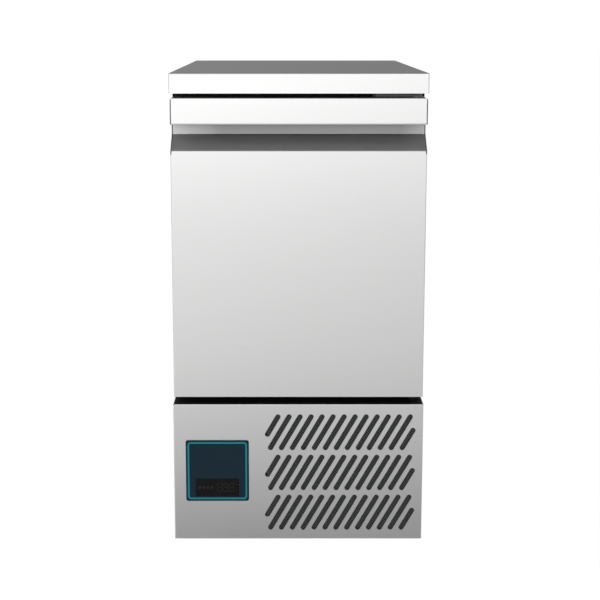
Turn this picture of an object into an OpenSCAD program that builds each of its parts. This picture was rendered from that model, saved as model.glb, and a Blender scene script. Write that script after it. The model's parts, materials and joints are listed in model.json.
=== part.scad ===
// Slimline undercounter refrigerator: one hinged door over a bottom-mounted
// condensing unit, with a folded worktop and a slotted base panel.
// Millimetres, +Z up, the front faces -Y, origin at the bottom centre.

/* [Overall] */
// Width of the worktop and of the base panel
width = 450; // [420:1:520]
// Depth of the worktop, front edge to back edge
depth = 700; // [680:1:760]
// Space between the floor and the base panel's lower edge
foot_gap = 15; // [13:0.5:24]
// Height of the base panel
base_h = 254; // [250:1:300]
// Open gap between the base and the door
low_gap = 14; // [12:0.5:18]
// Height of the door
door_h = 534; // [500:1:620]
// Open gap between the door and the worktop
top_gap = 8; // [7:0.5:14]

/* [Worktop] */
// Height of the worktop's folded edge
worktop_h = 35; // [30:1:50]
// Thickness of the worktop sheet
worktop_t = 1.5; // [1:0.1:2]
// Radius of the worktop's edges
worktop_r = 2.2; // [1.6:0.1:4]
// How far the worktop's nose stands in front of the door
nose = 3; // [1:0.5:6]
// Width of the hem under the nose
hem_w = 12; // [8:1:25]
// Thickness of the board under the worktop sheet
core_t = 18; // [12:1:21]

/* [Case] */
// How far the case's sides stand in from the worktop's edge
case_inset = 1.8; // [1.7:0.1:3]
// Thickness of the case's outer sheets
case_t = 0.8; // [0.6:0.1:1.5]
// Width of the flanges at the case's front edges
case_flange = 6; // [4:0.5:6.5]
// Thickness of the black front frame
face_t = 1; // [0.6:0.1:2]
// Thickness of the insulated side walls
side_wall = 43.2; // [36:0.1:50]
// Thickness of the insulated back wall
back_wall = 43; // [36:0.5:55]
// Height of the chamber's floor above the base
floor_wall = 53; // [49:0.5:60]
// Height of the chamber's ceiling below the door's top
ceiling_drop = 37; // [35:0.5:50]
// Corner radius of the chamber
chamber_r = 12; // [6:0.5:20]
// Thickness of the chamber's lining
liner_t = 0.8; // [0.6:0.1:1.5]
// Width of the plastic break strip round the opening
break_w = 10; // [6:0.5:12]
// Depth of the break strip
break_d = 12; // [8:0.5:18]

/* [Door] */
// How far the door's sides stand in from the worktop's edge
door_inset = 1.6; // [1:0.1:4]
// Thickness of the door without its gasket
door_t = 50; // [48:0.5:60]
// Thickness of the door's sheet
skin_t = 1; // [0.7:0.1:1.4]
// Radius of the door's folds
skin_r = 2; // [1.6:0.1:4]
// Width of the flanges at the door's back
skin_flange = 14; // [8:0.5:14.5]
// Height of the door's inner plateau in front of its lining
plateau_h = 5.5; // [3:0.5:6]
// Thickness of the door's lining
lining_t = 1; // [0.7:0.1:1.4]

/* [Handle] */
// Height of the handle rail
rail_h = 46; // [36:0.5:60]
// Thickness of the rail's lip
lip_t = 12; // [8:0.5:15]
// How far the finger space rises behind the lip
lip_rise = 24; // [12:0.5:28]
// Depth of the finger recess
scoop_d = 34; // [28:0.5:36]
// Height of the opening between the rail and the slope
scoop_open = 19; // [17:0.5:32]
// Height of the slope under the recess
slope_h = 27; // [18:0.5:36]
// Radius of the handle's folds
handle_r = 2; // [1.6:0.1:3]
// Thickness of the end caps
cap_t = 2; // [1.5:0.1:4]
// How far the end caps reach below the slope
cap_drop = 5.4; // [3:0.1:10]
// Corner radius of the door's top, seen from the front
door_corner_r = 4.5; // [2:0.5:6]

/* [Gasket] */
// Depth from the door's back to the case's front
gasket_d = 8; // [7:0.5:10]
// Width of the gasket
gasket_w = 16; // [12:0.5:16]
// Gap left between the gasket and the front frame
gasket_gap = 0.3; // [0.2:0.05:0.5]
// How far the gasket stands in from the door's sides
gasket_in = 17.4; // [15:0.1:17.4]
// How far the gasket stands in from the door's top and bottom
gasket_in_z = 14; // [12:0.5:15]

/* [Hinges] */
// Distance from the worktop's side edge to the hinge axis
hinge_in = 17; // [17:0.5:18]
// Distance from the door's front to the hinge axis
hinge_back = 35; // [32:0.5:38]
// Radius of the hinge pins
pin_r = 5; // [4:0.5:6]
// How far the pins reach into the door
pin_reach = 14; // [10:0.5:15]
// Running clearance round the hinge pins
pin_clear = 0.05; // [0.02:0.01:0.1]
// Wall of the door's hinge bushes
bush_wall = 3; // [2:0.5:4]
// Width of the hinge brackets
bracket_w = 87; // [80:0.5:100]
// Distance from the worktop's side edge to the brackets
bracket_in = 8.5; // [8.2:0.1:9]
// Thickness of the hinge brackets
bracket_t = 4; // [3:0.5:4.5]
// How far the brackets reach past the hinge axis
bracket_nose = 10; // [9:0.5:14]
// Height of the brackets' upright flanges
bracket_h = 20; // [18:0.5:22]
// Distance between the brackets' screws
screw_pitch = 28; // [20:0.5:30]
// Radius of the screws
screw_r = 2.5; // [2:0.1:3]

/* [Base] */
// Thickness of the base panel's sheet
panel_t = 1.2; // [0.8:0.1:1.5]
// Radius of the base panel's folds
panel_r = 2; // [1.6:0.1:4]
// Depth of the base panel's lower flange
panel_flange = 22; // [16:0.5:28]
// Height of the doubled hem at the base panel's top
panel_hem = 12; // [8:0.5:14]
// Thickness of the black ledge trim
ledge_t = 2.2; // [1.5:0.1:3]
// Thickness of the base tray
tray_t = 1.5; // [1:0.1:2.5]
// Height of the base tray's upstands
tray_h = 25; // [15:1:40]

/* [Slots] */
// Number of rows of slots
slot_rows = 3; // [1:1:3]
// Number of whole slots in a row
slot_count = 12; // [4:1:12]
// Distance from one slot to the next
slot_pitch = 19.83; // [16:0.01:22]
// Width of a slot across its slant
slot_w = 9.4; // [6:0.1:11]
// Slant of the slots from level
slot_angle = 60; // [55:1:75]
// Height of a whole slot
slot_h = 67.2; // [50:0.1:68]
// Height of the short slots at a row's ends
short_h = 42; // [25:0.1:48]
// Distance from one row to the next
slot_row_pitch = 75.7; // [70:0.1:77]
// Height of the lowest row's foot above the panel's lower edge
slot_z = 16.8; // [12:0.1:22]
// Middle of the slot field, from the panel's middle
slot_x = 75.6; // [70:0.1:78]

/* [Control] */
// Width of the control fascia
fascia_w = 114; // [100:0.5:130]
// Height of the control fascia
fascia_h = 114.4; // [100:0.1:130]
// Middle of the fascia, left of the panel's middle
fascia_x = 146.3; // [140:0.1:150]
// Middle of the fascia above the panel's lower edge
fascia_z = 129.9; // [110:0.1:140]
// Thickness of the fascia
fascia_t = 1.5; // [1.2:0.1:2]
// Corner radius of the fascia
fascia_r = 4; // [2:0.5:8]
// Width of the coloured line on the fascia
line_w = 3; // [1:0.1:5]
// How far the line stands in from the fascia's edge
line_in = 3.3; // [2:0.1:6]
// Thickness of the coloured line
line_t = 0.25; // [0.15:0.05:0.4]
// Width of the display window
window_w = 79.3; // [76:0.1:90]
// Height of the display window
window_h = 33.6; // [32:0.1:36]
// How far the window's middle lies below the fascia's
window_drop = 31.6; // [25:0.1:34]
// Depth of the controller behind the panel
controller_d = 52; // [30:1:54]

/* [Shelves] */
// Width of a shelf
shelf_w = 325; // [300:1:328]
// Depth of a shelf
shelf_d = 530; // [400:1:534]
// Gap between the shelves and the evaporator's cover
shelf_back = 4; // [2:0.5:20]
// Height of the lower shelf above the chamber floor
shelf_low = 145; // [100:1:160]
// Distance from one shelf to the next
shelf_step = 150; // [130:1:160]
// Radius of the shelf's rails
rail_r = 3; // [2.5:0.1:4]
// Radius of the shelf's wires
wire_r = 1.8; // [1.5:0.1:2.4]
// Number of wires in a shelf
wire_count = 12; // [6:1:14]
// Bend radius at a shelf's corners
shelf_bend = 20; // [10:1:30]
// Rods across under a shelf's wires
cross_count = 2; // [1:1:5]
// Depth of the shelf uprights
upright_d = 12; // [10:0.5:14]
// Width of the shelf uprights
upright_w = 20; // [16:1:26]
// Distance between the uprights' slots
upright_pitch = 25; // [20:1:30]

/* [Cooling] */
// Width of the condenser
cond_w = 240; // [200:1:246]
// Height of the condenser
cond_h = 205; // [180:1:208]
// Depth of the condenser
cond_d = 40; // [30:1:44]
// Diameter of the condenser fan
cond_fan_d = 160; // [140:1:166]
// Diameter of the condenser fan's motor
motor_d = 84; // [60:1:90]
// Length of the condenser fan's motor
motor_l = 62; // [40:1:66]
// Radius of the compressor's shell
comp_r = 70; // [60:1:72]
// Height of the compressor's shell
comp_h = 160; // [130:1:170]
// Width of the evaporator's cover
evap_w = 330; // [320:1:340]
// Depth of the evaporator's cover
evap_d = 50; // [48:0.5:52]
// Height of the evaporator's cover
evap_h = 410; // [400:1:420]
// Side of the evaporator fan's square frame
evap_fan_w = 119; // [100:1:122]
// Radius of the wide pipes
pipe_r = 4.5; // [3.5:0.1:5]
// Radius of the capillary pipe
capillary_r = 1.5; // [1.2:0.1:2]
// Outer radius of the drain tube
drain_r = 8; // [6:0.5:10]

/* [Feet] */
// Radius of a foot's pad
foot_r = 20; // [14:0.5:22]
// Thickness of a foot's pad
foot_pad = 8; // [6:0.5:9]
// Radius of a foot's stem
stem_r = 5; // [4:0.5:6]
// Length of a foot's stem
stem_l = 42; // [38:1:50]
// Distance from the worktop's side edge to a foot's axis
foot_in = 27; // [26:0.5:30]
// Distance from the door's front to the front feet's axes
foot_front = 82; // [80:1:90]
// Distance from the worktop's back edge to the rear feet's axes
foot_back = 40; // [36:1:44]

/* [Hidden] */
$fn = 64;
fit = 0.1; // between pieces that lie against each other
seat = 0.3; // between pieces that are pushed through each other

front_y = -depth / 2;
door_y = front_y + nose;
door_back_y = door_y + door_t;
face_y = door_back_y + gasket_d;
case_back_y = depth / 2 - worktop_t - 0.5;
case_hw = width / 2 - case_inset;
door_hw = width / 2 - door_inset;

base_z = foot_gap;
ledge_z = base_z + base_h;
door_z = ledge_z + low_gap;
door_top = door_z + door_h;
under_z = door_top + top_gap;
top_z = under_z + worktop_h;
case_top = top_z - worktop_t - core_t;

chamber_hw = case_hw - side_wall;
chamber_z0 = ledge_z + floor_wall;
chamber_z1 = door_top - ceiling_drop;
chamber_h = chamber_z1 - chamber_z0;
chamber_zc = (chamber_z0 + chamber_z1) / 2;
chamber_y1 = case_back_y - back_wall;
liner_y0 = face_y + break_d;

hinge_x = width / 2 - hinge_in;
hinge_y = door_y + hinge_back;
bracket_x = width / 2 - bracket_in - bracket_w / 2;
bracket_y = hinge_y - bracket_nose;
bracket_lift = 1;
low_bracket_top = ledge_z - ledge_t - fit;
top_screw_z = door_top + bracket_lift + bracket_h * 0.6;
low_screw_z = low_bracket_top - bracket_h * 0.6;

tray_z = base_z + panel_t;
tray_top = tray_z + tray_t;
tray_hw = case_hw - case_t - seat;
panel_in_y = door_y + panel_t;
panel_back_y = face_y - 2;
post_y = door_y + 6;
post_w = 10;
rail_d = 24;
rail_t = 1.5;
rail_hw = case_hw - case_flange - fit;

fascia_cz = base_z + fascia_z;
window_z = fascia_cz - window_drop;

evap_y0 = chamber_y1 - fit - evap_d;
evap_z1 = chamber_z1 - 5;
evap_z0 = evap_z1 - evap_h;
evap_fan_z = evap_z1 - evap_fan_w / 2 - 8;
evap_fan_d = 34;
evap_sheet = 1;
coil_w = evap_w - 90;
coil_x = -20;
coil_end_x = coil_x + coil_w / 2 + 3;
coil_h = 215;
coil_d = 38;
coil_z0 = evap_z0 + 42;
coil_y0 = chamber_y1 - fit - coil_d - 1;
coil_tube_r = 4.5;
coil_rows = 5;
cond_rows = 5;
fin_t = 0.6;
col_share = 0.27;
drip_z = evap_z0 + 12;
drip_h = 22;
drip_t = 1;
coil_row_h = coil_h / coil_rows;
cond_row_h = cond_h / cond_rows;
pipe_x = coil_end_x + coil_row_h / 2 + 2 * coil_tube_r + 6;
suction_y = coil_y0 + coil_d * top_share(coil_rows);
capillary_y = coil_y0 + coil_d * col_share;
drain_y = chamber_y1 - 20;
drain_z0 = tray_top + 46;

foot_x = width / 2 - foot_in;
foot_ys = [door_y + foot_front, depth / 2 - foot_back];
bush_r = 9;
bush_h = 20;

cond_x = foot_x - bush_r - 9 - cond_w / 2;
cond_y0 = door_y + 25;
cond_z0 = tray_top + 10;
cond_cz = cond_z0 + cond_h / 2;
shroud_d = 28;
shroud_t = 1;
fan_y = cond_y0 + cond_d + shroud_d;
fan_l = 24;
motor_y0 = fan_y + 14;
shaft_r = 4;
comp_x = cond_x + 50;
comp_y = 70;
comp_foot = [78, 50];
comp_z0 = tray_top + 20;
bolt_r = 4;
pan_y0 = case_back_y - 162;
pan_y1 = case_back_y - 18;
pan_hw = foot_x - bush_r - 13;
pan_h = 42;
pan_t = 1.5;
elec = [80, 120, 112];

upright_ys = [face_y + 70, evap_y0 - 74];
upright_z0 = chamber_z0 + 16;
upright_z1 = chamber_z1 - 18;
upright_t = 1;
slide_hw = chamber_hw - upright_d - 2 * fit;
slide_t = 1.2;
slide_lip = 18;
shelf_y1 = evap_y0 - shelf_back;
shelf_y0 = shelf_y1 - shelf_d;

steel = "#dcdddd";
dark_steel = "#8d9092";
zinc = "#b9bdbf";
black = "#17181a";
foam = "#e6dcae";
copper = "#b87048";

// Points and folds

function unit(v) = v / norm(v);
function reversed(v) = [for (i = [len(v) - 1:-1:0]) v[i]];
function turn(a) = a > 180 ? a - 360 : a < -180 ? a + 360 : a;

// One rounded corner of radius r at b, between a and c, in n steps
function corner(a, b, c, r, n = 5) =
    let (u = unit(a - b), v = unit(c - b), half = acos(u * v) / 2,
         centre = b + unit(u + v) * r / sin(half),
         p = b + u * r / tan(half) - centre, q = b + v * r / tan(half) - centre,
         from = atan2(p[1], p[0]), swing = turn(atan2(q[1], q[0]) - from))
    [for (i = [0:n]) centre + r * [cos(from + swing * i / n), sin(from + swing * i / n)]];

// A path whose inner corners are rounded
function rounded(p, r) = [
    p[0],
    for (i = [1:len(p) - 2]) each corner(p[i - 1], p[i], p[i + 1], r),
    p[len(p) - 1]
];

// The path moved to its left by d
function beside(q, d) = [
    for (i = [0:len(q) - 1])
        let (a = unit(q[max(i, 1)] - q[max(i, 1) - 1]),
             b = unit(q[min(i, len(q) - 2) + 1] - q[min(i, len(q) - 2)]),
             m = unit([-a[1] - b[1], a[0] + b[0]]))
        q[i] + m * d / (m * [-a[1], a[0]])
];

// A sheet of thickness t on the left of a path with folds of radius r
module fold(p, t, r) {
    q = rounded(p, r);
    polygon(concat(q, reversed(beside(q, t))));
}

// Extrusions of an outline drawn in (y, z) or in (x, z)
module along_x(length) rotate([90, 0, 90]) linear_extrude(length, center = true) children();
module along_y(y0, y1) translate([0, y1, 0]) rotate([90, 0, 0]) linear_extrude(y1 - y0) children();

module box(x, y, z) translate([x[0], y[0], z[0]]) cube([x[1] - x[0], y[1] - y[0], z[1] - z[0]]);

module round_rect(w, h, r) {
    square([w - 2 * r, h], center = true);
    square([w, h - 2 * r], center = true);
    for (sx = [-1, 1], sz = [-1, 1]) translate([sx * (w / 2 - r), sz * (h / 2 - r)]) circle(r);
}

// A rectangle on the line y = 0, with its two upper corners rounded
module crowned(w, h, r) {
    translate([-w / 2, 0]) square([w, h - r]);
    translate([r - w / 2, 0]) square([w - 2 * r, h]);
    for (s = [-1, 1]) translate([s * (w / 2 - r), h - r]) circle(r);
}

module rod_y(x, z, r, y0, y1) translate([x, y0, z]) rotate([-90, 0, 0]) cylinder(y1 - y0, r = r);
module rod_x(y, z, r, x0, x1) translate([x0, y, z]) rotate([0, 90, 0]) cylinder(x1 - x0, r = r);

// Places its children with z along w and x along u
module facing(at, u, w) {
    v = cross(w, u);
    multmatrix([
        [u[0], v[0], w[0], at[0]],
        [u[1], v[1], w[1], at[1]],
        [u[2], v[2], w[2], at[2]]
    ]) children();
}

// Any direction square to d
function square_to(d) = unit(cross(d, abs(d[2]) < 0.9 ? [0, 0, 1] : [1, 0, 0]));

// A bent pipe of radius r through the points p, with bends of radius b
module pipe(p, r, b) {
    last = len(p) - 1;
    lead = [for (i = [0:last]) i == 0 || i == last ? 0 :
        let (d = unit(p[i] - p[i - 1]), e = unit(p[i + 1] - p[i])) b * tan(acos(d * e) / 2)];
    for (i = [1:last]) {
        d = unit(p[i] - p[i - 1]);
        a = p[i - 1] + d * lead[i - 1];
        facing(a, square_to(d), d) cylinder(norm(p[i] - p[i - 1]) - lead[i - 1] - lead[i], r = r);
        if (i < last) {
            e = unit(p[i + 1] - p[i]);
            n = unit(e - d * (d * e));
            facing(p[i] - d * lead[i] + n * b, -n, cross(-n, d))
                rotate_extrude(angle = acos(d * e)) translate([b, 0]) circle(r);
        }
    }
}

// Case

module worktop() color(steel) {
    difference() {
        intersection() {
            translate([0, 0, under_z]) linear_extrude(worktop_h) round_rect(width, depth, worktop_r);
            translate([0, 0, under_z]) along_x(width) crowned(depth, worktop_h, worktop_r);
            translate([0, 0, under_z]) along_y(front_y, depth / 2) crowned(width, worktop_h, worktop_r);
        }
        box([worktop_t - width / 2, width / 2 - worktop_t], [front_y + worktop_t, depth / 2 - worktop_t],
            [under_z - 1, top_z - worktop_t]);
    }
    box([worktop_t - width / 2, width / 2 - worktop_t], [front_y + worktop_t, front_y + hem_w],
        [under_z, under_z + worktop_t]);
}

module worktop_core() color("#5d4a38")
    box([worktop_t + fit - width / 2, width / 2 - worktop_t - fit],
        [front_y + worktop_t + fit, depth / 2 - worktop_t - fit], [case_top, top_z - worktop_t - fit]);

module side_panel(s) color(steel) {
    y0 = face_y + face_t + fit;
    path = [[case_hw - case_flange, y0], [case_hw, y0], [case_hw, case_back_y], [case_hw - 15, case_back_y]];
    mirror([s > 0 ? 0 : 1, 0, 0]) translate([0, 0, tray_z]) linear_extrude(case_top - tray_z - fit)
        fold(path, case_t, case_t * 1.6);
}

back_sheet_y = case_back_y - case_t - fit - case_t;

module back_panel() color(zinc)
    box([-tray_hw, tray_hw], [back_sheet_y, back_sheet_y + case_t], [ledge_z - case_t, case_top - fit]);

module pass_holes(z0, z1, clear) {
    translate([0, drain_y, z0]) cylinder(z1 - z0, r = drain_r + clear);
    translate([pipe_x, suction_y, z0]) cylinder(z1 - z0, r = pipe_r + clear);
    translate([pipe_x, capillary_y, z0]) cylinder(z1 - z0, r = capillary_r + clear);
}

module floor_panel() color(zinc) difference() {
    box([-tray_hw, tray_hw], [liner_y0 - break_d + face_t + 1, back_sheet_y - fit],
        [ledge_z - case_t, ledge_z]);
    pass_holes(ledge_z - 2, ledge_z + 1, seat);
}

// The opening in the case's front, grown by g on every side
module opening_2d(g) translate([0, chamber_zc])
    round_rect(2 * (chamber_hw + g), chamber_h + 2 * g, chamber_r + g);

module insulation() color(foam) difference() {
    y0 = face_y + face_t + case_t + 2 * fit;
    box([fit - tray_hw, tray_hw - fit], [y0, back_sheet_y - fit], [ledge_z + fit, case_top - fit]);
    along_y(y0 - 1, chamber_y1 + liner_t + fit) opening_2d(liner_t + fit);
    along_y(y0 - 1, liner_y0 + fit) opening_2d(break_w + fit);
    pass_holes(ledge_z, chamber_z0, seat);
    box([-rail_hw - fit, rail_hw + fit], [y0 - 1, face_y + face_t + rail_d + 2 * fit],
        [case_top - bracket_h - 9, case_top]);
}

// The chamber's walls are one folded tube, which a back sheet closes
module liner() color("#c9cccd") difference() {
    along_y(liner_y0, chamber_y1 - fit) opening_2d(liner_t);
    along_y(liner_y0 - 1, chamber_y1 + 1) opening_2d(0);
    pass_holes(chamber_z0 - 3, chamber_z0 + 3, seat);
}

module liner_back() color("#c9cccd") along_y(chamber_y1, chamber_y1 + liner_t) opening_2d(liner_t);

module face_frame() color(black) difference() {
    box([-case_hw, case_hw], [face_y, face_y + face_t], [ledge_z + fit, case_top - fit]);
    along_y(face_y - 1, face_y + face_t + 1) opening_2d(break_w + fit);
    hinge_screw_places(top_screw_z, face_y - 1) rod_y(0, 0, screw_r + fit, 0, face_t + 2);
}

module thermal_break() color("#202225") difference() {
    along_y(face_y, liner_y0 - fit) opening_2d(break_w);
    along_y(face_y - 1, liner_y0 + 1) opening_2d(0);
}

// Channel rails that stiffen the front, and the two posts behind the base panel
module channel_rail(z0, z1) {
    y0 = face_y + face_t + fit;
    path = [[y0 + rail_d, z0], [y0, z0], [y0, z1], [y0 + rail_d, z1]];
    along_x(2 * rail_hw) fold(path, -rail_t, rail_t * 1.4);
}

module frame_rails() color(zinc) {
    difference() {
        union() {
            channel_rail(case_top - bracket_h - 8, case_top - 2 * fit);
            channel_rail(low_bracket_top - bracket_h - 2, ledge_z - case_t - fit);
        }
        for (z = [top_screw_z, low_screw_z]) hinge_screw_places(z, face_y) rod_y(0, 0, screw_r + fit, 0, 8);
    }
    path = [[tray_hw - post_w, post_y], [tray_hw, post_y], [tray_hw, face_y - 1]];
    for (s = [0, 1]) mirror([s, 0, 0]) translate([0, 0, tray_top])
        linear_extrude(low_bracket_top - tray_top) fold(path, rail_t, rail_t * 1.4);
}

// Chamber fittings

module shelf_uprights() color(zinc) {
    x = chamber_hw - fit;
    count = floor((upright_z1 - upright_z0 - 20) / upright_pitch);
    for (s = [0, 1], y = upright_ys) mirror([s, 0, 0]) difference() {
        box([x - upright_d, x], [y - upright_w / 2, y + upright_w / 2], [upright_z0, upright_z1]);
        box([x - upright_d + upright_t, x + 1],
            [y - upright_w / 2 + upright_t, y + upright_w / 2 - upright_t], [upright_z0 - 1, upright_z1 + 1]);
        for (i = [0:count]) box([x - upright_d - 1, x - upright_d + 2], [y - 5, y + 5],
            [upright_z0 + 10 + i * upright_pitch, upright_z0 + 14 + i * upright_pitch]);
    }
}

function shelf_z(i) = chamber_z0 + shelf_low + i * shelf_step;

module shelf_slides() color(zinc) {
    y = [shelf_y0, shelf_y1];
    for (s = [0, 1], i = [0, 1]) mirror([s, 0, 0]) {
        z = shelf_z(i) - fit - slide_t;
        box([slide_hw - slide_lip, slide_hw], y, [z, z + slide_t]);
        box([slide_hw - slide_t, slide_hw], y, [z, z + 26]);
        box([slide_hw - slide_lip + 4, slide_hw], [y[1] + fit, y[1] + fit + slide_t], [z, z + 18]);
    }
}

// A wire shelf whose bent frame rests on the slides at height z, with the wires welded across its top
module shelf(z) color("#c4c8ca") {
    x = shelf_w / 2 - rail_r;
    y0 = shelf_y0 + rail_r;
    y1 = shelf_y1 - rail_r;
    zc = z + rail_r;
    path = [[0, y0, zc], [x, y0, zc], [x, y1, zc], [-x, y1, zc], [-x, y0, zc], [0, y0, zc]];
    pipe(path, rail_r, shelf_bend);
    for (i = [1:cross_count]) rod_x(y0 + (y1 - y0) * i / (cross_count + 1), zc, rail_r - 0.5, -x, x);
    for (i = [1:wire_count])
        rod_y(-x + 2 * x * i / (wire_count + 1), zc + rail_r + wire_r * 0.4, wire_r, y0 - 1, y1 + 1);
}

module upper_shelf() shelf(shelf_z(1));
module lower_shelf() shelf(shelf_z(0));

// Where across a coil's depth the top row of its tube ends
function top_share(rows) = rows % 2 == 0 ? col_share : 1 - col_share;

// Fins on one tube that winds from its open ends at x = 0: w along x, d along y, h along z
module finned_coil(w, d, h, pitch, fin_t, rows, tube_r) {
    fins = floor((w - fin_t) / pitch);
    row_h = h / rows;
    col_y = [d * col_share, d * (1 - col_share)];
    for (i = [0:fins]) translate([(w - fin_t - fins * pitch) / 2 + i * pitch, 0, 0]) cube([fin_t, d, h]);
    for (y = col_y, i = [0:rows - 1]) rod_x(y, row_h * (i + 0.5), tube_r, -3, w + 3);
    for (i = [0:rows - 1]) facing([w + 3, d / 2, row_h * (i + 0.5)], [0, -1, 0], [0, 0, 1])
        rotate_extrude(angle = 180) translate([col_y[1] - d / 2, 0]) circle(tube_r);
    for (i = [0:rows - 2]) facing([-3, col_y[(i + 1) % 2], row_h * (i + 1)], [0, 0, -1], [0, 1, 0])
        rotate_extrude(angle = 180) translate([row_h / 2, 0]) circle(tube_r);
}

module evaporator_coil() color("#aeb4b6") translate([coil_end_x - 3, coil_y0, coil_z0]) mirror([1, 0, 0])
    finned_coil(coil_w, coil_d, coil_h, 10, fin_t, coil_rows, coil_tube_r);

module evaporator_cover() color(steel) {
    hx = evap_w / 2;
    hole_r = evap_fan_w / 2 - 4;
    difference() {
        box([-hx, hx], [evap_y0, chamber_y1 - fit], [evap_z0, evap_z1]);
        box([evap_sheet - hx, hx - evap_sheet], [evap_y0 + evap_sheet, chamber_y1 + 1],
            [evap_z0 - 1, evap_z1 - evap_sheet]);
        rod_y(0, evap_fan_z, hole_r, evap_y0 - 1, evap_y0 + 3);
        for (s = [-1, 1], i = [0:5]) translate([s * 120, 0, evap_fan_z - 30 + i * 12])
            along_y(evap_y0 - 1, evap_y0 + 3) round_rect(50, 4, 1.9);
        rod_y(-hx + 40, evap_z0 + 60, 5, evap_y0 - 1, evap_y0 + 3);
    }
    translate([0, evap_y0, evap_fan_z]) rotate([90, 0, 0]) {
        for (r = [14:14:hole_r - 4]) rotate_extrude() translate([r, -0.5]) circle(1);
        for (a = [0, 90]) rotate([90, 0, a]) translate([0, -0.5, -hole_r - 0.6])
            cylinder(2 * hole_r + 1.2, r = 1.2);
    }
}

module rotor(d, hub_r, hub_l, bore_r, blades, chord, pitch) {
    difference() {
        union() {
            cylinder(hub_l, r = hub_r, center = true);
            intersection() {
                cylinder(hub_l + 4, r = d / 2, center = true);
                for (i = [0:blades - 1]) rotate(i * 360 / blades) translate([hub_r - 2, 0, 0])
                    rotate([0, 90, 0]) linear_extrude(d / 2) rotate(pitch) blade_section(chord);
            }
        }
        cylinder(hub_l + 10, r = bore_r, center = true);
    }
}

// A thin cambered blade, chord along y
module blade_section(chord) {
    rise = chord * 0.12;
    r = (chord * chord / 4 + rise * rise) / (2 * rise);
    half = asin(chord / 2 / r);
    outer = [for (i = [-4:4]) [r * cos(half * i / 4) - r + rise / 2, r * sin(half * i / 4)]];
    s = r - 1.6;
    inner = [for (i = [4:-1:-4]) [s * cos(half * i / 4) - r + rise / 2, s * sin(half * i / 4)]];
    polygon(concat(outer, inner));
}

evap_fan_y0 = evap_y0 + evap_sheet + fit;
evap_shaft_r = 3;

module evaporator_fan_frame() color(black) translate([0, 0, evap_fan_z]) {
    y1 = evap_fan_y0 + evap_fan_d;
    difference() {
        along_y(evap_fan_y0, y1) round_rect(evap_fan_w, evap_fan_w, 6);
        rod_y(0, 0, evap_fan_w / 2 - 3, evap_fan_y0 - 1, y1 + 1);
        for (sx = [-1, 1], sz = [-1, 1]) rod_y(sx * (evap_fan_w / 2 - 7), sz * (evap_fan_w / 2 - 7), 2,
            evap_fan_y0 - 1, y1 + 1);
    }
    for (a = [45:90:315]) rotate([0, a, 0]) box([18, evap_fan_w / 2 - 2], [y1 - 5, y1], [-2.5, 2.5]);
    rod_y(0, 0, 22, y1 - 7, y1);
    rod_y(0, 0, evap_shaft_r, evap_fan_y0 + 4, y1 - 6);
}

module evaporator_fan_rotor() color("#24262a")
    translate([0, evap_fan_y0 + 13, evap_fan_z]) rotate([-90, 0, 0])
        rotor(evap_fan_w - 10, 21, 20, evap_shaft_r + pin_clear, 7, 26, 38);

module drip_tray() color(steel) difference() {
    x = [coil_x - coil_w / 2 - 15, coil_end_x + coil_row_h / 2 + coil_tube_r];
    y = [evap_y0 + 5, chamber_y1 - 2 * fit];
    box(x, y, [drip_z, drip_z + drip_h]);
    box([x[0] + drip_t, x[1] - drip_t], [y[0] + drip_t, y[1] - drip_t],
        [drip_z + drip_t, drip_z + drip_h + 1]);
    translate([0, drain_y, drip_z - 1]) cylinder(4, r = drain_r - 2);
}

module drain_tube() color("#d8dad6") translate([0, drain_y, drain_z0]) difference() {
    cylinder(drip_z - fit - drain_z0, r = drain_r);
    translate([0, 0, -1]) cylinder(drip_z - drain_z0 + 2, r = drain_r - 2);
}

module air_probe() color("#e8e8e4") translate([40 - evap_w / 2, 0, evap_z0 + 60]) {
    rod_y(0, 0, 4.7, evap_y0 - 3, evap_y0 + 6);
    rod_y(0, 0, 8, evap_y0 - 3 - fit, evap_y0 - fit);
    rod_y(0, 0, 3, evap_y0 - 22, evap_y0 - 3);
    translate([0, evap_y0 - 22, 0]) sphere(3);
}

// Hinges

module hinge_screw_places(z, y)
    for (i = [-1:1]) translate([bracket_x + i * screw_pitch, y, z]) children();

// A bracket plate at height z whose flange stands up (s = 1) or hangs down (s = -1)
module hinge_bracket(z, s, screw_z, hole_r) difference() {
    x = [bracket_x - bracket_w / 2, bracket_x + bracket_w / 2];
    union() {
        box(x, [bracket_y, face_y - fit], [z, z + bracket_t]);
        box(x, [face_y - fit - bracket_t, face_y - fit],
            s > 0 ? [z, z + bracket_h] : [z + bracket_t - bracket_h, z + bracket_t]);
    }
    translate([hinge_x, hinge_y, z - 1]) cylinder(bracket_t + 2, r = hole_r);
    hinge_screw_places(screw_z, face_y - bracket_t - 2) rod_y(0, 0, screw_r + fit, 0, bracket_t + 4);
    for (sx = [-1, 1]) translate([bracket_x + sx * bracket_w / 2, bracket_y, z - 1])
        rotate(45) cube([8, 8, 3 * bracket_t], center = true);
}

module top_hinge_bracket() color(dark_steel)
    hinge_bracket(door_top + bracket_lift, 1, top_screw_z, pin_r + 0.02);

module top_hinge_pin() color(zinc) translate([hinge_x, hinge_y, door_top - pin_reach])
    cylinder(pin_reach + bracket_lift + bracket_t, r = pin_r);

module bottom_hinge_bracket() color(black)
    hinge_bracket(low_bracket_top - bracket_t, -1, low_screw_z, pin_r + 0.02);

module bottom_hinge_pin() color(black) translate([hinge_x, hinge_y, 0]) {
    translate([0, 0, low_bracket_top - bracket_t]) cylinder(bracket_t + low_gap + pin_reach, r = pin_r);
    translate([0, 0, low_bracket_top]) cylinder(door_z - 1.2 - low_bracket_top, r = 2 * pin_r);
}

module pan_screw(r, l) {
    rod_y(0, 0, r, 0, l);
    rod_y(0, 0, r * 1.9, -r * 1.1, 0);
}

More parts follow.
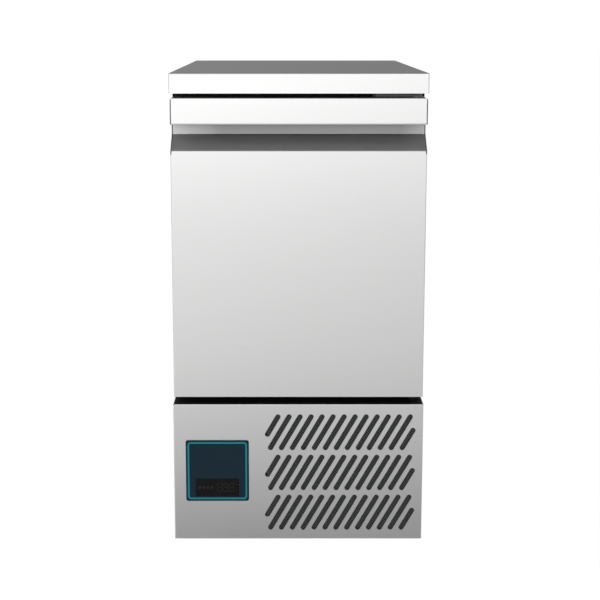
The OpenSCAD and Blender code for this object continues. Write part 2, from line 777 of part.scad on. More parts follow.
module screws() color(zinc) {
    y = face_y - fit - bracket_t;
    for (z = [top_screw_z, low_screw_z]) hinge_screw_places(z, y) pan_screw(screw_r, bracket_t + 5);
    panel_screw_places(base_z) rotate([90, 0, 0]) pan_screw(screw_r - 0.5, panel_t + tray_t + 3);
    translate([comp_x, comp_y, tray_top]) comp_foot_places() {
        cylinder(comp_z0 + 12 - tray_top, r = bolt_r);
        translate([0, 0, comp_z0 + 7 - tray_top]) cylinder(6, r = 1.8 * bolt_r, $fn = 6);
    }
}

// Door: depth d behind the door's front, height h above the door's top
handle_path = [
    [door_back_y, door_top], [door_y, door_top], [door_y, door_top - rail_h],
    [door_y + lip_t, door_top - rail_h], [door_y + lip_t, door_top - rail_h + lip_rise],
    [door_y + scoop_d, door_top - rail_h + lip_rise], [door_y + scoop_d, door_top - rail_h - scoop_open],
    [door_y, door_top - rail_h - scoop_open - slope_h]
];
slope_foot = door_top - rail_h - scoop_open - slope_h;
cap_foot = slope_foot - cap_drop;

module door_outline() along_y(door_y - 1, door_back_y + 1)
    translate([0, door_z]) crowned(2 * door_hw, door_h, door_corner_r);

// The bush's hole from height z upwards
module bush_hole(z) translate([hinge_x, hinge_y, z]) cylinder(bush_l + 2 * fit, r = pin_r + bush_wall + fit);

module door_handle() color(steel) difference() {
    intersection() {
        along_x(2 * (door_hw - cap_t)) fold(handle_path, skin_t, handle_r);
        door_outline();
    }
    box([-door_hw, door_hw], [door_y - 1, door_back_y], [cap_foot, slope_foot]);
    bush_hole(door_top - bush_l);
}

module handle_end_caps() color("#4b4d4f") for (s = [-1, 1]) intersection() {
    translate([s * (door_hw - cap_t / 2), 0, 0]) along_x(cap_t - 2 * fit)
        polygon(concat(rounded(handle_path, handle_r), [[door_y, cap_foot], [door_back_y, cap_foot]]));
    door_outline();
}

module door_skin() color(steel) difference() {
    path = [
        [door_hw - skin_flange, door_back_y], [door_hw, door_back_y], [door_hw, door_y],
        [-door_hw, door_y], [-door_hw, door_back_y], [skin_flange - door_hw, door_back_y]
    ];
    union() {
        translate([0, 0, door_z]) linear_extrude(slope_foot - fit - door_z) fold(path, -skin_t, skin_r);
        intersection() {
            translate([0, 0, door_z]) linear_extrude(skin_t) round_rect_at(path);
            box([-door_hw, door_hw], [door_y, door_back_y], [door_z, door_top]);
        }
        box([skin_flange - door_hw, door_hw - skin_flange], [door_back_y - skin_t, door_back_y],
            [door_z, door_z + skin_flange]);
    }
    for (s = [-1, 1]) translate([s * door_hw, 0, 0])
        box([-cap_t - fit, cap_t + fit], [door_y - 1, door_back_y + 1], [cap_foot - fit, door_top]);
    bush_hole(door_z - fit);
}

// The area that a closed path of folds goes round
module round_rect_at(path) polygon(rounded(path, skin_r));

module door_foam() color(foam) difference() {
    g = skin_t + fit;
    inner = beside(rounded(handle_path, handle_r), g);
    union() {
        translate([0, door_y + door_t / 2, door_z + g]) linear_extrude(cap_foot - 2 * fit - door_z - g)
            round_rect(2 * (door_hw - g), door_t - 2 * g, skin_r);
        along_x(2 * (door_hw - cap_t - fit)) polygon(concat(
            [for (p = inner) [max(door_y + g, min(p[0], door_back_y - g)), p[1]]],
            [[door_y + g, cap_foot - 1], [door_back_y - g, cap_foot - 1]]));
    }
    for (z = [door_z, door_top - bush_l - fit]) bush_hole(z);
}

// The pressed lining: a flat rim with a plateau that stands towards the chamber
module door_lining() color("#cfd2d3") {
    hw = door_hw - skin_flange - fit;
    z = [door_z + skin_flange + fit, door_top - skin_t - fit];
    pw = chamber_hw - 3;
    ph = chamber_h - 6;
    difference() {
        union() {
            box([-hw, hw], [door_back_y - lining_t, door_back_y], z);
            box([cap_t + fit - door_hw, door_hw - cap_t - fit], [door_back_y - lining_t, door_back_y],
                [slope_foot, z[1]]);
            translate([0, 0, chamber_zc]) along_y(door_back_y - lining_t, door_back_y + plateau_h)
                round_rect(2 * pw, ph, chamber_r);
        }
        translate([0, 0, chamber_zc]) along_y(door_back_y - lining_t - 1, door_back_y + plateau_h - lining_t)
            round_rect(2 * (pw - lining_t), ph - 2 * lining_t, chamber_r - lining_t);
    }
}

// One flat ring of the gasket between depths y0 and y1, drawn in by g on both sides
module gasket_ring(y0, y1, g) {
    w = 2 * (door_hw - gasket_in);
    h = door_h - 2 * gasket_in_z;
    translate([0, 0, door_z + door_h / 2]) difference() {
        along_y(y0, y1) square([w - 2 * g, h - 2 * g], center = true);
        along_y(y0 - 1, y1 + 1) square([w - 2 * (gasket_w - g), h - 2 * (gasket_w - g)], center = true);
    }
}

module door_gasket() color("#3a3c3f") {
    y0 = door_back_y + fit;
    y1 = face_y - gasket_gap;
    gasket_ring(y0, y0 + 1.6, 0);
    gasket_ring(y0 + 1.6, y1 - 3, 4);
    gasket_ring(y1 - 3, y1, 1.5);
}

bush_l = pin_reach + 4;

// A flanged bush: its flange lies outside the door, its body in the door
module bush(flange_t) difference() {
    union() {
        cylinder(bush_l, r = pin_r + bush_wall);
        translate([0, 0, -flange_t]) cylinder(flange_t, r = pin_r + bush_wall + 2.5);
    }
    translate([0, 0, -5]) cylinder(bush_l + 3, r = pin_r + pin_clear);
}

module hinge_bushes() color("#e9e7e0") translate([hinge_x, hinge_y]) {
    translate([0, 0, door_top + fit]) mirror([0, 0, 1]) bush(0.6);
    translate([0, 0, door_z - fit]) bush(1);
}

// Base

module foot_places() for (x = [-foot_x, foot_x], y = foot_ys) translate([x, y, 0]) children();

// The two screws that hold the base panel's lower fold to the tray
module panel_screw_places(z)
    for (s = [-1, 1]) translate([s * width / 3, door_y + panel_flange - 9, z]) children();

module base_tray() color(zinc) difference() {
    union() {
        box([-tray_hw, tray_hw], [post_y - 4, back_sheet_y - fit], [tray_z + fit, tray_top]);
        for (s = [0, 1]) mirror([s, 0, 0])
            box([tray_hw - tray_t, tray_hw], [face_y + face_t + 2, back_sheet_y - fit],
                [tray_top - 1, tray_top + tray_h]);
    }
    for (s = [0, 1]) mirror([s, 0, 0]) box([case_hw - case_flange - seat, case_hw],
        [face_y + face_t, face_y + face_t + 2], [tray_z, tray_top + 1]);
    foot_places() cylinder(tray_top + 5, r = stem_r + 0.5);
    panel_screw_places(tray_z - 1) cylinder(6, r = screw_r);
}

module ledge_trim() color(black) difference() {
    hw = width / 2 - panel_t - fit;
    box([-hw, hw], [door_y + 2 * panel_t + fit, face_y - fit], [ledge_z - ledge_t, ledge_z]);
    translate([hinge_x, hinge_y, ledge_z - 5]) cylinder(10, r = 2 * pin_r + 0.5);
}

// One slanted slot with round ends, centred, with its lowest and highest points h apart
module slot(h) {
    reach = (h - slot_w) / 2 / sin(slot_angle);
    rotate(slot_angle - 90) {
        for (s = [-1, 1]) translate([0, s * reach]) circle(slot_w / 2, $fn = 32);
        square([slot_w, 2 * reach], center = true);
    }
}

// A row of slots, with a short one at each end that squares off the slanted field
module slot_row() {
    field = (slot_count - 1) * slot_pitch / 2;
    lean = (slot_h - short_h) / 2;
    for (i = [0:slot_count - 1]) translate([i * slot_pitch - field, 0]) slot(slot_h);
    for (s = [-1, 1]) translate([s * (field + slot_pitch - lean / tan(slot_angle)), -s * lean]) slot(short_h);
}

module front_grille() color(steel) difference() {
    hw = width / 2;
    path = [[hw, panel_back_y], [hw, door_y], [-hw, door_y], [-hw, panel_back_y]];
    union() {
        translate([0, 0, base_z]) linear_extrude(base_h - panel_t) fold(path, -panel_t, panel_r);
        along_x(width - 2 * panel_r) translate([door_y, ledge_z]) hem_section();
        box([panel_t - hw, hw - panel_t], [door_y + panel_t, door_y + panel_flange],
            [base_z, base_z + panel_t]);
    }
    for (i = [0:slot_rows - 1]) translate([slot_x, 0, base_z + slot_z + slot_h / 2 + i * slot_row_pitch])
        along_y(door_y - 1, door_y + 5) slot_row();
    translate([-fascia_x, 0, window_z]) along_y(door_y - 1, door_y + 5)
        square([window_w - 8, window_h - 4], center = true);
    panel_screw_places(base_z - 1) cylinder(6, r = screw_r);
}

// The doubled sheet at the panel's top, hung from the point (0, 0)
module hem_section() {
    translate([0, -panel_hem]) square([2 * panel_t, panel_hem - panel_t]);
    translate([panel_t, -panel_t]) circle(panel_t);
}

module air_filter() color("#2a2c2e") {
    y = [panel_in_y + fit, panel_in_y + 4];
    reach = slot_count * slot_pitch / 2 + slot_h / tan(slot_angle) / 2;
    x = [slot_x - reach + 6, min(slot_x + reach, tray_hw - 2)];
    box(x, y, [base_z + slot_z - 8, base_z + slot_z + (slot_rows - 1) * slot_row_pitch + slot_h + 5]);
}

module control_fascia() color("#1b2c3c") translate([-fascia_x, 0, fascia_cz]) difference() {
    along_y(door_y - fascia_t, door_y - fit / 2) round_rect(fascia_w, fascia_h, fascia_r);
    translate([0, 0, -window_drop]) along_y(door_y - 5, door_y + 5)
        square([window_w, window_h], center = true);
}

module fascia_line() color("#288186") translate([-fascia_x, 0, fascia_cz]) difference() {
    w = fascia_w - 2 * line_in;
    h = fascia_h - 2 * line_in;
    y = door_y - fascia_t;
    along_y(y - line_t, y) round_rect(w, h, fascia_r + 2);
    along_y(y - 1, y + 1) round_rect(w - 2 * line_w, h - 2 * line_w, fascia_r + 2 - line_w);
}

module controller() color("#1c1c1d") translate([-fascia_x, 0, window_z]) {
    w = window_w - 2 * fit;
    h = window_h - 2 * fit;
    difference() {
        along_y(door_y - fascia_t * 0.75, door_y - fit / 2) square([w, h], center = true);
        along_y(door_y - 5, door_y - fascia_t * 0.5) round_rect(w - 5, h - 5, 2);
    }
    along_y(door_y - fit, door_y + controller_d) square([window_w - 9, window_h - 5], center = true);
}

module rear_cover() color(zinc) difference() {
    hw = case_hw - case_t - 4;
    box([-hw, hw], [back_sheet_y - fit, back_sheet_y + case_t], [tray_top + fit, ledge_z - case_t - fit]);
    for (i = [0:7], x = [-100:100:100]) translate([x, 0, tray_top + 70 + i * 20])
        along_y(back_sheet_y - 2, case_back_y) round_rect(76, 7, 3.4);
    rod_y(gland_x, gland_z, 8 + fit, back_sheet_y - 2, case_back_y);
}

gland_x = 55 - width / 2;
gland_z = tray_top + 34;

module cable_gland() color(black) translate([gland_x, 0, gland_z]) difference() {
    union() {
        rod_y(0, 0, 8, back_sheet_y - 12, case_back_y);
        rod_y(0, 0, 12, case_back_y - case_t + 0.2, case_back_y + 1.8);
        rod_y(0, 0, 11.5, back_sheet_y - 8, back_sheet_y - 2 * fit, $fn = 6);
    }
    rod_y(0, 0, 4.5, back_sheet_y - 20, case_back_y + 5);
}

// Condensing unit

module condenser_coil() color("#9aa0a2") {
    translate([cond_x - cond_w / 2, cond_y0, cond_z0])
        finned_coil(cond_w, cond_d, cond_h, 8, fin_t, cond_rows, coil_tube_r);
}

module condenser_shroud() color(black) {
    y0 = cond_y0 + cond_d + fit;
    y1 = y0 + shroud_d;
    hx = cond_w / 2;
    ring = cond_fan_d / 2 + 5;
    difference() {
        union() {
            box([cond_x - hx, cond_x + hx], [y0, y1], [tray_top, cond_z0 + cond_h]);
            rod_y(cond_x, cond_cz, ring + shroud_t, y0 + 4, y1 + 10);
        }
        box([cond_x - hx + shroud_t, cond_x + hx - shroud_t], [y0 - 1, y1 - shroud_t],
            [cond_z0, cond_z0 + cond_h - shroud_t]);
        rod_y(cond_x, cond_cz, ring, y0 - 1, y1 + 20);
    }
}

module condenser_fan_motor() color("#3c3f42") translate([cond_x, 0, cond_cz]) {
    rod_y(0, 0, motor_d / 2, motor_y0, motor_y0 + motor_l);
    rod_y(0, 0, motor_d / 4, motor_y0 + motor_l, motor_y0 + motor_l + 8);
    rod_y(0, 0, shaft_r, fan_y - 8, motor_y0);
    // Four straps from the motor's face to the shroud's ring
    y = fan_y + 10 + 2 * fit;
    for (a = [45:90:315]) rotate([0, a, 0]) {
        box([motor_d / 2 - 10, cond_fan_d / 2 + 9], [y, y + 4], [-6, 6]);
    }
}

module condenser_fan_rotor() color("#2b2d30") translate([cond_x, fan_y - 4, cond_cz]) rotate([-90, 0, 0])
    rotor(cond_fan_d, 24, fan_l - 4, shaft_r + pin_clear, 5, 44, 32);

module compressor() color("#26282a") translate([comp_x, comp_y, comp_z0]) {
    rotate_extrude() intersection() {
        translate([0, comp_h / 2 + 4]) round_rect(2 * comp_r, comp_h, comp_r * 0.55);
        square([comp_r + 1, comp_h + 10]);
    }
    translate([0, 0, comp_h * 0.52]) cylinder(5, r = comp_r + 3.5);
    difference() {
        box([-92, 92], [-62, 62], [2, 5]);
        comp_foot_places() cylinder(8, r = 8 + seat);
    }
    box([-comp_r - 22, -comp_r + 6], [-24, 24], [comp_h * 0.56, comp_h * 0.88]);
    rod_y(0, suction_z - comp_z0, pipe_r + 1, comp_r - 4, comp_r + stub_l);
    rod_x(hot_in, hot_out_z - comp_z0, pipe_r + 0.5, -comp_r - stub_l, 12 - comp_r);
}

module comp_foot_places() for (sx = [-1, 1], sy = [-1, 1])
    translate([sx * comp_foot[0], sy * comp_foot[1], 0]) children();

module compressor_mounts() color("#1a1a1a") translate([comp_x, comp_y, tray_top])
    comp_foot_places() difference() {
        z1 = comp_z0 + 7 - tray_top;
        union() {
            cylinder(z1 - fit, r = 8);
            cylinder(comp_z0 + 2 - fit - tray_top, r = 13);
        }
        translate([0, 0, -1]) cylinder(z1 + 2, r = bolt_r + fit);
    }

hot_z = tray_top + 24;
line_x = cond_x - cond_w / 2 - 38;
left_end_x = cond_x - cond_w / 2 - 3;
cond_col_y = cond_y0 + cond_d * col_share;
cond_top_y = cond_y0 + cond_d * top_share(cond_rows);
suction_z = comp_z0 + comp_h * 0.74;
hot_out_z = comp_z0 + comp_h * 0.38;
hot_in = 24;
stub_l = 8;

// Hot gas from the compressor, through the condensate tray, to the condenser's top
module discharge_line() color(copper) {
    out_y = comp_y + hot_in;
    out_z = hot_out_z;
    loop_x = pan_hw - 36;
    near_y = pan_y0 + 22;
    back_y = pan_y1 - 30;
    drop_y = pan_y0 + 44;
    top_row_z = cond_z0 + cond_row_h * (cond_rows - 0.5);
    pipe([
        [comp_x - comp_r - stub_l - fit, out_y, out_z], [comp_x - comp_r - 30, out_y, out_z],
        [comp_x - comp_r - 30, drop_y, out_z], [comp_x - comp_r - 30, drop_y, hot_z],
        [-loop_x, drop_y, hot_z], [-loop_x, back_y, hot_z], [loop_x, back_y, hot_z], [loop_x, near_y, hot_z],
        [loop_x, near_y, hot_z + 50], [line_x, near_y, hot_z + 50], [line_x, cond_top_y, hot_z + 50],
        [line_x, cond_top_y, top_row_z], [left_end_x, cond_top_y, top_row_z]
    ], pipe_r - 0.5, 10);
}

// Cold gas from the evaporator back to the compressor
module suction_line() color(copper) {
    top_row_z = coil_z0 + coil_row_h * (coil_rows - 0.5);
    pipe([
        [coil_end_x, suction_y, top_row_z], [pipe_x, suction_y, top_row_z], [pipe_x, suction_y, suction_z],
        [comp_x, suction_y, suction_z], [comp_x, comp_y + comp_r + stub_l + fit, suction_z]
    ], pipe_r, 9);
}

// Liquid line, drier and the capillary that feeds the evaporator
module filter_drier() color(copper) {
    x = line_x + 14;
    z = cond_z0 + cond_row_h / 2;
    dry_y = cond_y0 + cond_d + 50;
    dry_l = 90;
    over_y = pan_y0 - 30;
    high_z = ledge_z - 30;
    low_row_z = coil_z0 + coil_row_h / 2;
    pipe([[left_end_x, cond_col_y, z], [x, cond_col_y, z], [x, dry_y + 2, z]], pipe_r - 1.5, 8);
    rod_y(x, z, 10, dry_y, dry_y + dry_l);
    pipe([
        [x, dry_y + dry_l - 2, z], [x, over_y, z], [x, over_y, high_z], [pipe_x, over_y, high_z],
        [pipe_x, capillary_y, high_z], [pipe_x, capillary_y, low_row_z], [coil_end_x, capillary_y, low_row_z]
    ], capillary_r, 8);
}

module condensate_tray() color("#2f3133") difference() {
    box([-pan_hw, pan_hw], [pan_y0, pan_y1], [tray_top + fit, tray_top + pan_h]);
    box([pan_t - pan_hw, pan_hw - pan_t], [pan_y0 + pan_t, pan_y1 - pan_t],
        [tray_top + pan_t, tray_top + pan_h + 1]);
}

// A box with a groove round its lid, and three cable glands on its right
module electrical_box() color("#c9cbc8") translate([elec[0] / 2 + tray_t + 4 - tray_hw, 20, tray_top]) {
    hx = elec[0] / 2;
    hy = elec[1] / 2;
    lid_z = elec[2] - 22;
    difference() {
        box([-hx, hx], [-hy, hy], [0, elec[2]]);
        difference() {
            box([-hx - 1, hx + 1], [-hy - 1, hy + 1], [lid_z, lid_z + 1.5]);
            box([1.5 - hx, hx - 1.5], [1.5 - hy, hy - 1.5], [lid_z - 5, lid_z + 5]);
        }
    }
    for (i = [-1:1]) translate([hx, i * hy * 0.57, elec[2] * 0.375]) rotate([0, 90, 0])
        cylinder(8, r = 8, $fn = 6);
}

module foot_bushes() color(zinc) foot_places() translate([0, 0, tray_top + fit]) difference() {
    union() {
        cylinder(bush_h, r = bush_r, $fn = 6);
        cylinder(3, r = bush_r + 3);
    }
    translate([0, 0, -1]) cylinder(bush_h + 2, r = stem_r + pin_clear);
}

// A levelling foot: a pad, a hexagon to turn it by and a stem
module foot(x, y) color(black) translate([x, y, 0]) {
    rotate_extrude() intersection() {
        translate([0, foot_pad / 2]) round_rect(2 * foot_r, foot_pad, 2.5);
        square([foot_r + 1, foot_pad]);
    }
    translate([0, 0, foot_pad - 1]) cylinder(tray_z - fit - foot_pad + 1, r = 9, $fn = 6);
    translate([0, 0, foot_pad]) cylinder(stem_l, r = stem_r);
}

module foot_front_left() foot(-foot_x, foot_ys[0]);
module foot_front_right() foot(foot_x, foot_ys[0]);
module foot_rear_left() foot(-foot_x, foot_ys[1]);
module foot_rear_right() foot(foot_x, foot_ys[1]);

worktop();
worktop_core();
side_panel(-1);  // side_panel_left
side_panel(1);  // side_panel_right
back_panel();
floor_panel();
insulation();
liner();
liner_back();
face_frame();
thermal_break();
frame_rails();
shelf_uprights();
shelf_slides();
upper_shelf();
lower_shelf();
evaporator_cover();
evaporator_coil();
evaporator_fan_frame();
evaporator_fan_rotor();
drip_tray();
drain_tube();
air_probe();
top_hinge_bracket();
top_hinge_pin();
bottom_hinge_bracket();
bottom_hinge_pin();
screws();
door_skin();
door_handle();
handle_end_caps();
door_foam();
door_lining();
door_gasket();
hinge_bushes();
base_tray();
ledge_trim();
front_grille();
air_filter();
control_fascia();
fascia_line();
controller();
rear_cover();
condenser_coil();
condenser_shroud();
condenser_fan_motor();
condenser_fan_rotor();
compressor();
compressor_mounts();
discharge_line();
suction_line();
filter_drier();
condensate_tray();
electrical_box();
cable_gland();
foot_bushes();
foot_front_left();
foot_front_right();
foot_rear_left();
foot_rear_right();
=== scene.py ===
import json
import math

import bmesh
import bpy
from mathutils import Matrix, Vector


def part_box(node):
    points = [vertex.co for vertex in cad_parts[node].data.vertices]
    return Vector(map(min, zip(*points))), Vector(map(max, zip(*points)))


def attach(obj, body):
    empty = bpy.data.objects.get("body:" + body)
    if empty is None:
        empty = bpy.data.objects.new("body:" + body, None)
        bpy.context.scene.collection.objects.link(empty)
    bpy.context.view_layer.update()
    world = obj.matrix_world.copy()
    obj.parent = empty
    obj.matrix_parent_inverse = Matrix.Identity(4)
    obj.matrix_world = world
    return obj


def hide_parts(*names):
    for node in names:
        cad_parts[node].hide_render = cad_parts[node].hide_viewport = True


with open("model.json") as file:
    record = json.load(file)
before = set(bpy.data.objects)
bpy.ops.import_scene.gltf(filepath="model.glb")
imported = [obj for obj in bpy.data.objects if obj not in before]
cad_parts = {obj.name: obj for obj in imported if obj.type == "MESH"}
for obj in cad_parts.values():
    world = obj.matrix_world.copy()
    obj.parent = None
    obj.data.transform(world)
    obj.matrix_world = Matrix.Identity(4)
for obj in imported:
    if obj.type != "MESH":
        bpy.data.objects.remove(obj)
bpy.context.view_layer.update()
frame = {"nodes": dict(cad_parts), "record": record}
nodes = frame["nodes"]
print("frame loaded:", len(nodes), "nodes")

mm = 0.001


# Colours, nodes and patterns

def linearHex(code):
    values = [int(code[i:i + 2], 16) / 255 for i in (1, 3, 5)]
    return tuple(v / 12.92 if v < 0.04045 else ((v + 0.055) / 1.055) ** 2.4 for v in values) + (1,)


def addNode(tree, kind, inputs=None, **settings):
    node = tree.nodes.new(kind)
    for key, value in settings.items():
        setattr(node, key, value)
    for key, value in (inputs or {}).items():
        if isinstance(value, bpy.types.NodeSocket):
            tree.links.new(value, node.inputs[key])
        else:
            node.inputs[key].default_value = value
    return node


def startMaterial(name, colour, metallic, roughness, **shader):
    material = bpy.data.materials.new(name)
    material.use_nodes = True
    tree = material.node_tree
    tree.nodes.clear()
    surface = addNode(tree, "ShaderNodeBsdfPrincipled", {
        "Base Color": linearHex(colour), "Metallic": metallic, "Roughness": roughness, **shader})
    addNode(tree, "ShaderNodeOutputMaterial", {"Surface": surface.outputs[0]})
    place = addNode(tree, "ShaderNodeTexCoord").outputs["Object"]
    return material, tree, surface, place


# Turns a size in mm into the scale of a pattern on coordinates in metres
def patternScale(size):
    return 1 / (size * mm)


# Lets one pattern vary the colour, the roughness and the height of a surface
def varySurface(tree, surface, pattern, colours=None, roughness=None, depth=None):
    if colours:
        shades = addNode(tree, "ShaderNodeMix", {
            0: pattern, 6: linearHex(colours[0]), 7: linearHex(colours[1])}, data_type="RGBA")
        tree.links.new(shades.outputs[2], surface.inputs["Base Color"])
    if roughness:
        gloss = addNode(tree, "ShaderNodeMapRange", {0: pattern, 3: roughness[0], 4: roughness[1]})
        tree.links.new(gloss.outputs[0], surface.inputs["Roughness"])
    if depth:
        relief = addNode(tree, "ShaderNodeBump", {"Height": pattern, "Distance": depth * mm})
        tree.links.new(relief.outputs[0], surface.inputs["Normal"])


# Camera, fitted to the edges of the worktop, door and base panel in the photograph

camera = {"place": (-0.0233, -2.5872, 0.9502), "tilt": 9.45, "lens": 77.56, "sensor": 36,
          "shiftX": 0.0244, "shiftY": -0.1083, "farEnd": 200}

scene = bpy.context.scene
eye = bpy.data.objects.new("camera", bpy.data.cameras.new("camera"))
scene.collection.objects.link(eye)
eye.location = camera["place"]
eye.rotation_euler = (math.radians(90 - camera["tilt"]), 0, 0)
eye.data.lens = camera["lens"]
eye.data.sensor_width = camera["sensor"]
eye.data.shift_x = camera["shiftX"]
eye.data.shift_y = camera["shiftY"]
eye.data.clip_end = camera["farEnd"]
scene.camera = eye
scene.view_settings.view_transform = "Standard"
print("camera placed")


# Studio: white to the eye, and for the steel a room that darkens towards its floor and back.
# The ring is the room below eye level, as degrees and light. Other directions are parts of a unit vector.

studio = {"fill": 0.8,            # light on matt surfaces
          "ring": [(-90, 0.95), (-50, 1.05), (-39, 0.05), (-31, 0.0), (-22.3, 0.0), (-19.9, 0.02),
                   (-17.4, 1.15), (-16, 1.66), (-11.4, 0.56), (-6.6, 0.5), (-4.8, 1.42),
                   (-3.0, 1.92), (-0.4, 2.0)],
          "horizon": 0.004,       # half the height of the seam between the ring and the sky
          "frontSky": 1.63, "highSky": 1.0, "highFrom": 0.26, "highTo": 0.44,
          "frontFrom": -0.2, "frontTo": -0.85, "backSky": 0.215,
          "sideFall": 0.8, "sideLimit": 0.25,      # the left is lit more than the right
          "mostFrom": 0.36, "leastFrom": 0.43, "flankTo": 0.62,
          "most": (2.0, 0.92), "least": (0.0, 0.5),     # limits in the middle and at the flanks
          "lampPlace": (-1.6, -2.4, 3.2), "lampAim": (0, 0, 0.4), "lampSize": 2.6, "lampPower": 36}

world = bpy.data.worlds.new("studio")
world.use_nodes = True
scene.world = world
tree = world.node_tree
tree.nodes.clear()
heading = addNode(tree, "ShaderNodeSeparateXYZ", {
    0: addNode(tree, "ShaderNodeTexCoord").outputs["Generated"]})
height = addNode(tree, "ShaderNodeMapRange", {0: heading.outputs[2], 1: -1.0, 2: 1.0})
ring = addNode(tree, "ShaderNodeValToRGB", {0: height.outputs[0]})
ringTop = max(level for angle, level in studio["ring"])
stops = ring.color_ramp.elements
stops.remove(stops[1])
for index, (angle, level) in enumerate(studio["ring"]):
    spot = (math.sin(math.radians(angle)) + 1) / 2
    stop = stops[0] if index == 0 else stops.new(spot)
    stop.position = spot
    stop.color = (level / ringTop,) * 3 + (1,)
ringLevel = addNode(tree, "ShaderNodeMath", {0: ring.outputs[0], 1: ringTop}, operation="MULTIPLY")
fromMiddle = addNode(tree, "ShaderNodeMath", {0: heading.outputs[0]}, operation="ABSOLUTE")
most, least = [
    addNode(tree, "ShaderNodeMapRange", {
        0: fromMiddle.outputs[0], 1: studio[start], 2: studio["flankTo"], 3: inMiddle, 4: atFlank},
        interpolation_type="SMOOTHSTEP")
    for start, (inMiddle, atFlank) in (("mostFrom", studio["most"]), ("leastFrom", studio["least"]))]
lowRoom = addNode(tree, "ShaderNodeMath", {0: ringLevel.outputs[0], 1: least.outputs[0]},
                  operation="MAXIMUM")
front = addNode(tree, "ShaderNodeMapRange", {
    0: heading.outputs[2], 1: studio["highFrom"], 2: studio["highTo"],
    3: studio["frontSky"], 4: studio["highSky"]}, interpolation_type="SMOOTHSTEP")
sky = addNode(tree, "ShaderNodeMapRange", {
    0: heading.outputs[1], 1: studio["frontFrom"], 2: studio["frontTo"],
    3: studio["backSky"], 4: front.outputs[0]}, interpolation_type="SMOOTHSTEP")
aboveFloor = addNode(tree, "ShaderNodeMapRange", {
    0: heading.outputs[2], 1: -studio["horizon"], 2: studio["horizon"]})
room = addNode(tree, "ShaderNodeMix", {0: aboveFloor.outputs[0], 2: lowRoom.outputs[0], 3: sky.outputs[0]})
sideways = addNode(tree, "ShaderNodeMapRange", {
    0: heading.outputs[0], 1: -studio["sideLimit"], 2: studio["sideLimit"],
    3: 1 + studio["sideFall"] * studio["sideLimit"], 4: 1 - studio["sideFall"] * studio["sideLimit"]})
acrossRoom = addNode(tree, "ShaderNodeMath", {0: room.outputs[0], 1: sideways.outputs[0]},
                     operation="MULTIPLY")
seenRoom = addNode(tree, "ShaderNodeMath", {0: acrossRoom.outputs[0], 1: most.outputs[0]},
                   operation="MINIMUM")
rays = addNode(tree, "ShaderNodeLightPath")
inMetal = addNode(tree, "ShaderNodeMix", {
    0: rays.outputs["Is Glossy Ray"], 2: studio["fill"], 3: seenRoom.outputs[0]})
toEye = addNode(tree, "ShaderNodeMix", {0: rays.outputs["Is Camera Ray"], 2: inMetal.outputs[0], 3: 1.0})
throughGlass = addNode(tree, "ShaderNodeMix", {
    0: rays.outputs["Is Transmission Ray"], 2: toEye.outputs[0], 3: 1.0})
light = addNode(tree, "ShaderNodeBackground", {"Color": throughGlass.outputs[0], "Strength": 1.0})
addNode(tree, "ShaderNodeOutputWorld", {"Surface": light.outputs[0]})

lamp = bpy.data.objects.new("softbox", bpy.data.lights.new("softbox", "AREA"))
scene.collection.objects.link(lamp)
lamp.data.size = studio["lampSize"]
lamp.data.energy = studio["lampPower"]
lamp.location = studio["lampPlace"]
lamp.rotation_euler = (Vector(studio["lampAim"]) - lamp.location).to_track_quat("-Z", "Y").to_euler()
lamp.visible_glossy = False

# The floor glows white to the eye, keeps a share of matt paint for the shadow, and is clear from beneath
stageFloor = {"reach": 60, "paint": "#f4f4f4", "glow": 1.03, "glowShare": 0.95}

reach = stageFloor["reach"]
floorMesh = bpy.data.meshes.new("floor")
floorMesh.from_pydata([(-reach, -reach, 0), (reach, -reach, 0), (reach, reach, 0), (-reach, reach, 0)],
                      [], [(0, 1, 2, 3)])
floor = bpy.data.objects.new("floor", floorMesh)
scene.collection.objects.link(floor)
floor.visible_glossy = False
floorPaint = bpy.data.materials.new("white studio floor")
floorPaint.use_nodes = True
tree = floorPaint.node_tree
tree.nodes.clear()
matt = addNode(tree, "ShaderNodeBsdfDiffuse", {"Color": linearHex(stageFloor["paint"])})
glow = addNode(tree, "ShaderNodeEmission", {"Strength": stageFloor["glow"]})
rays = addNode(tree, "ShaderNodeLightPath")
share = addNode(tree, "ShaderNodeMath", {0: rays.outputs["Is Camera Ray"], 1: stageFloor["glowShare"]},
                operation="MULTIPLY")
both = addNode(tree, "ShaderNodeMixShader", {0: share.outputs[0], 1: matt.outputs[0], 2: glow.outputs[0]})
under = addNode(tree, "ShaderNodeNewGeometry").outputs["Backfacing"]
seen = addNode(tree, "ShaderNodeMixShader", {
    0: under, 1: both.outputs[0], 2: addNode(tree, "ShaderNodeBsdfTransparent").outputs[0]})
addNode(tree, "ShaderNodeOutputMaterial", {"Surface": seen.outputs[0]})
floorMesh.materials.append(floorPaint)
print("studio ready")


# Materials, with their sizes in mm

# Belt-brushed 304 stainless: the lines spread a reflection into a soft band and leave the sheet
# a shade uneven across the grain. The real lines are about 0.2 mm apart, too fine to show, so
# they are drawn coarser and faint.
brushedSheet = {"colour": "#e5e5e4", "shades": ("#e2e2e2", "#e7e7e6"), "gloss": (0.255, 0.315),
                "lineLength": 160, "lineGap": 1.6, "relief": 0.004, "smudge": 130, "smudgeShare": 0.35}


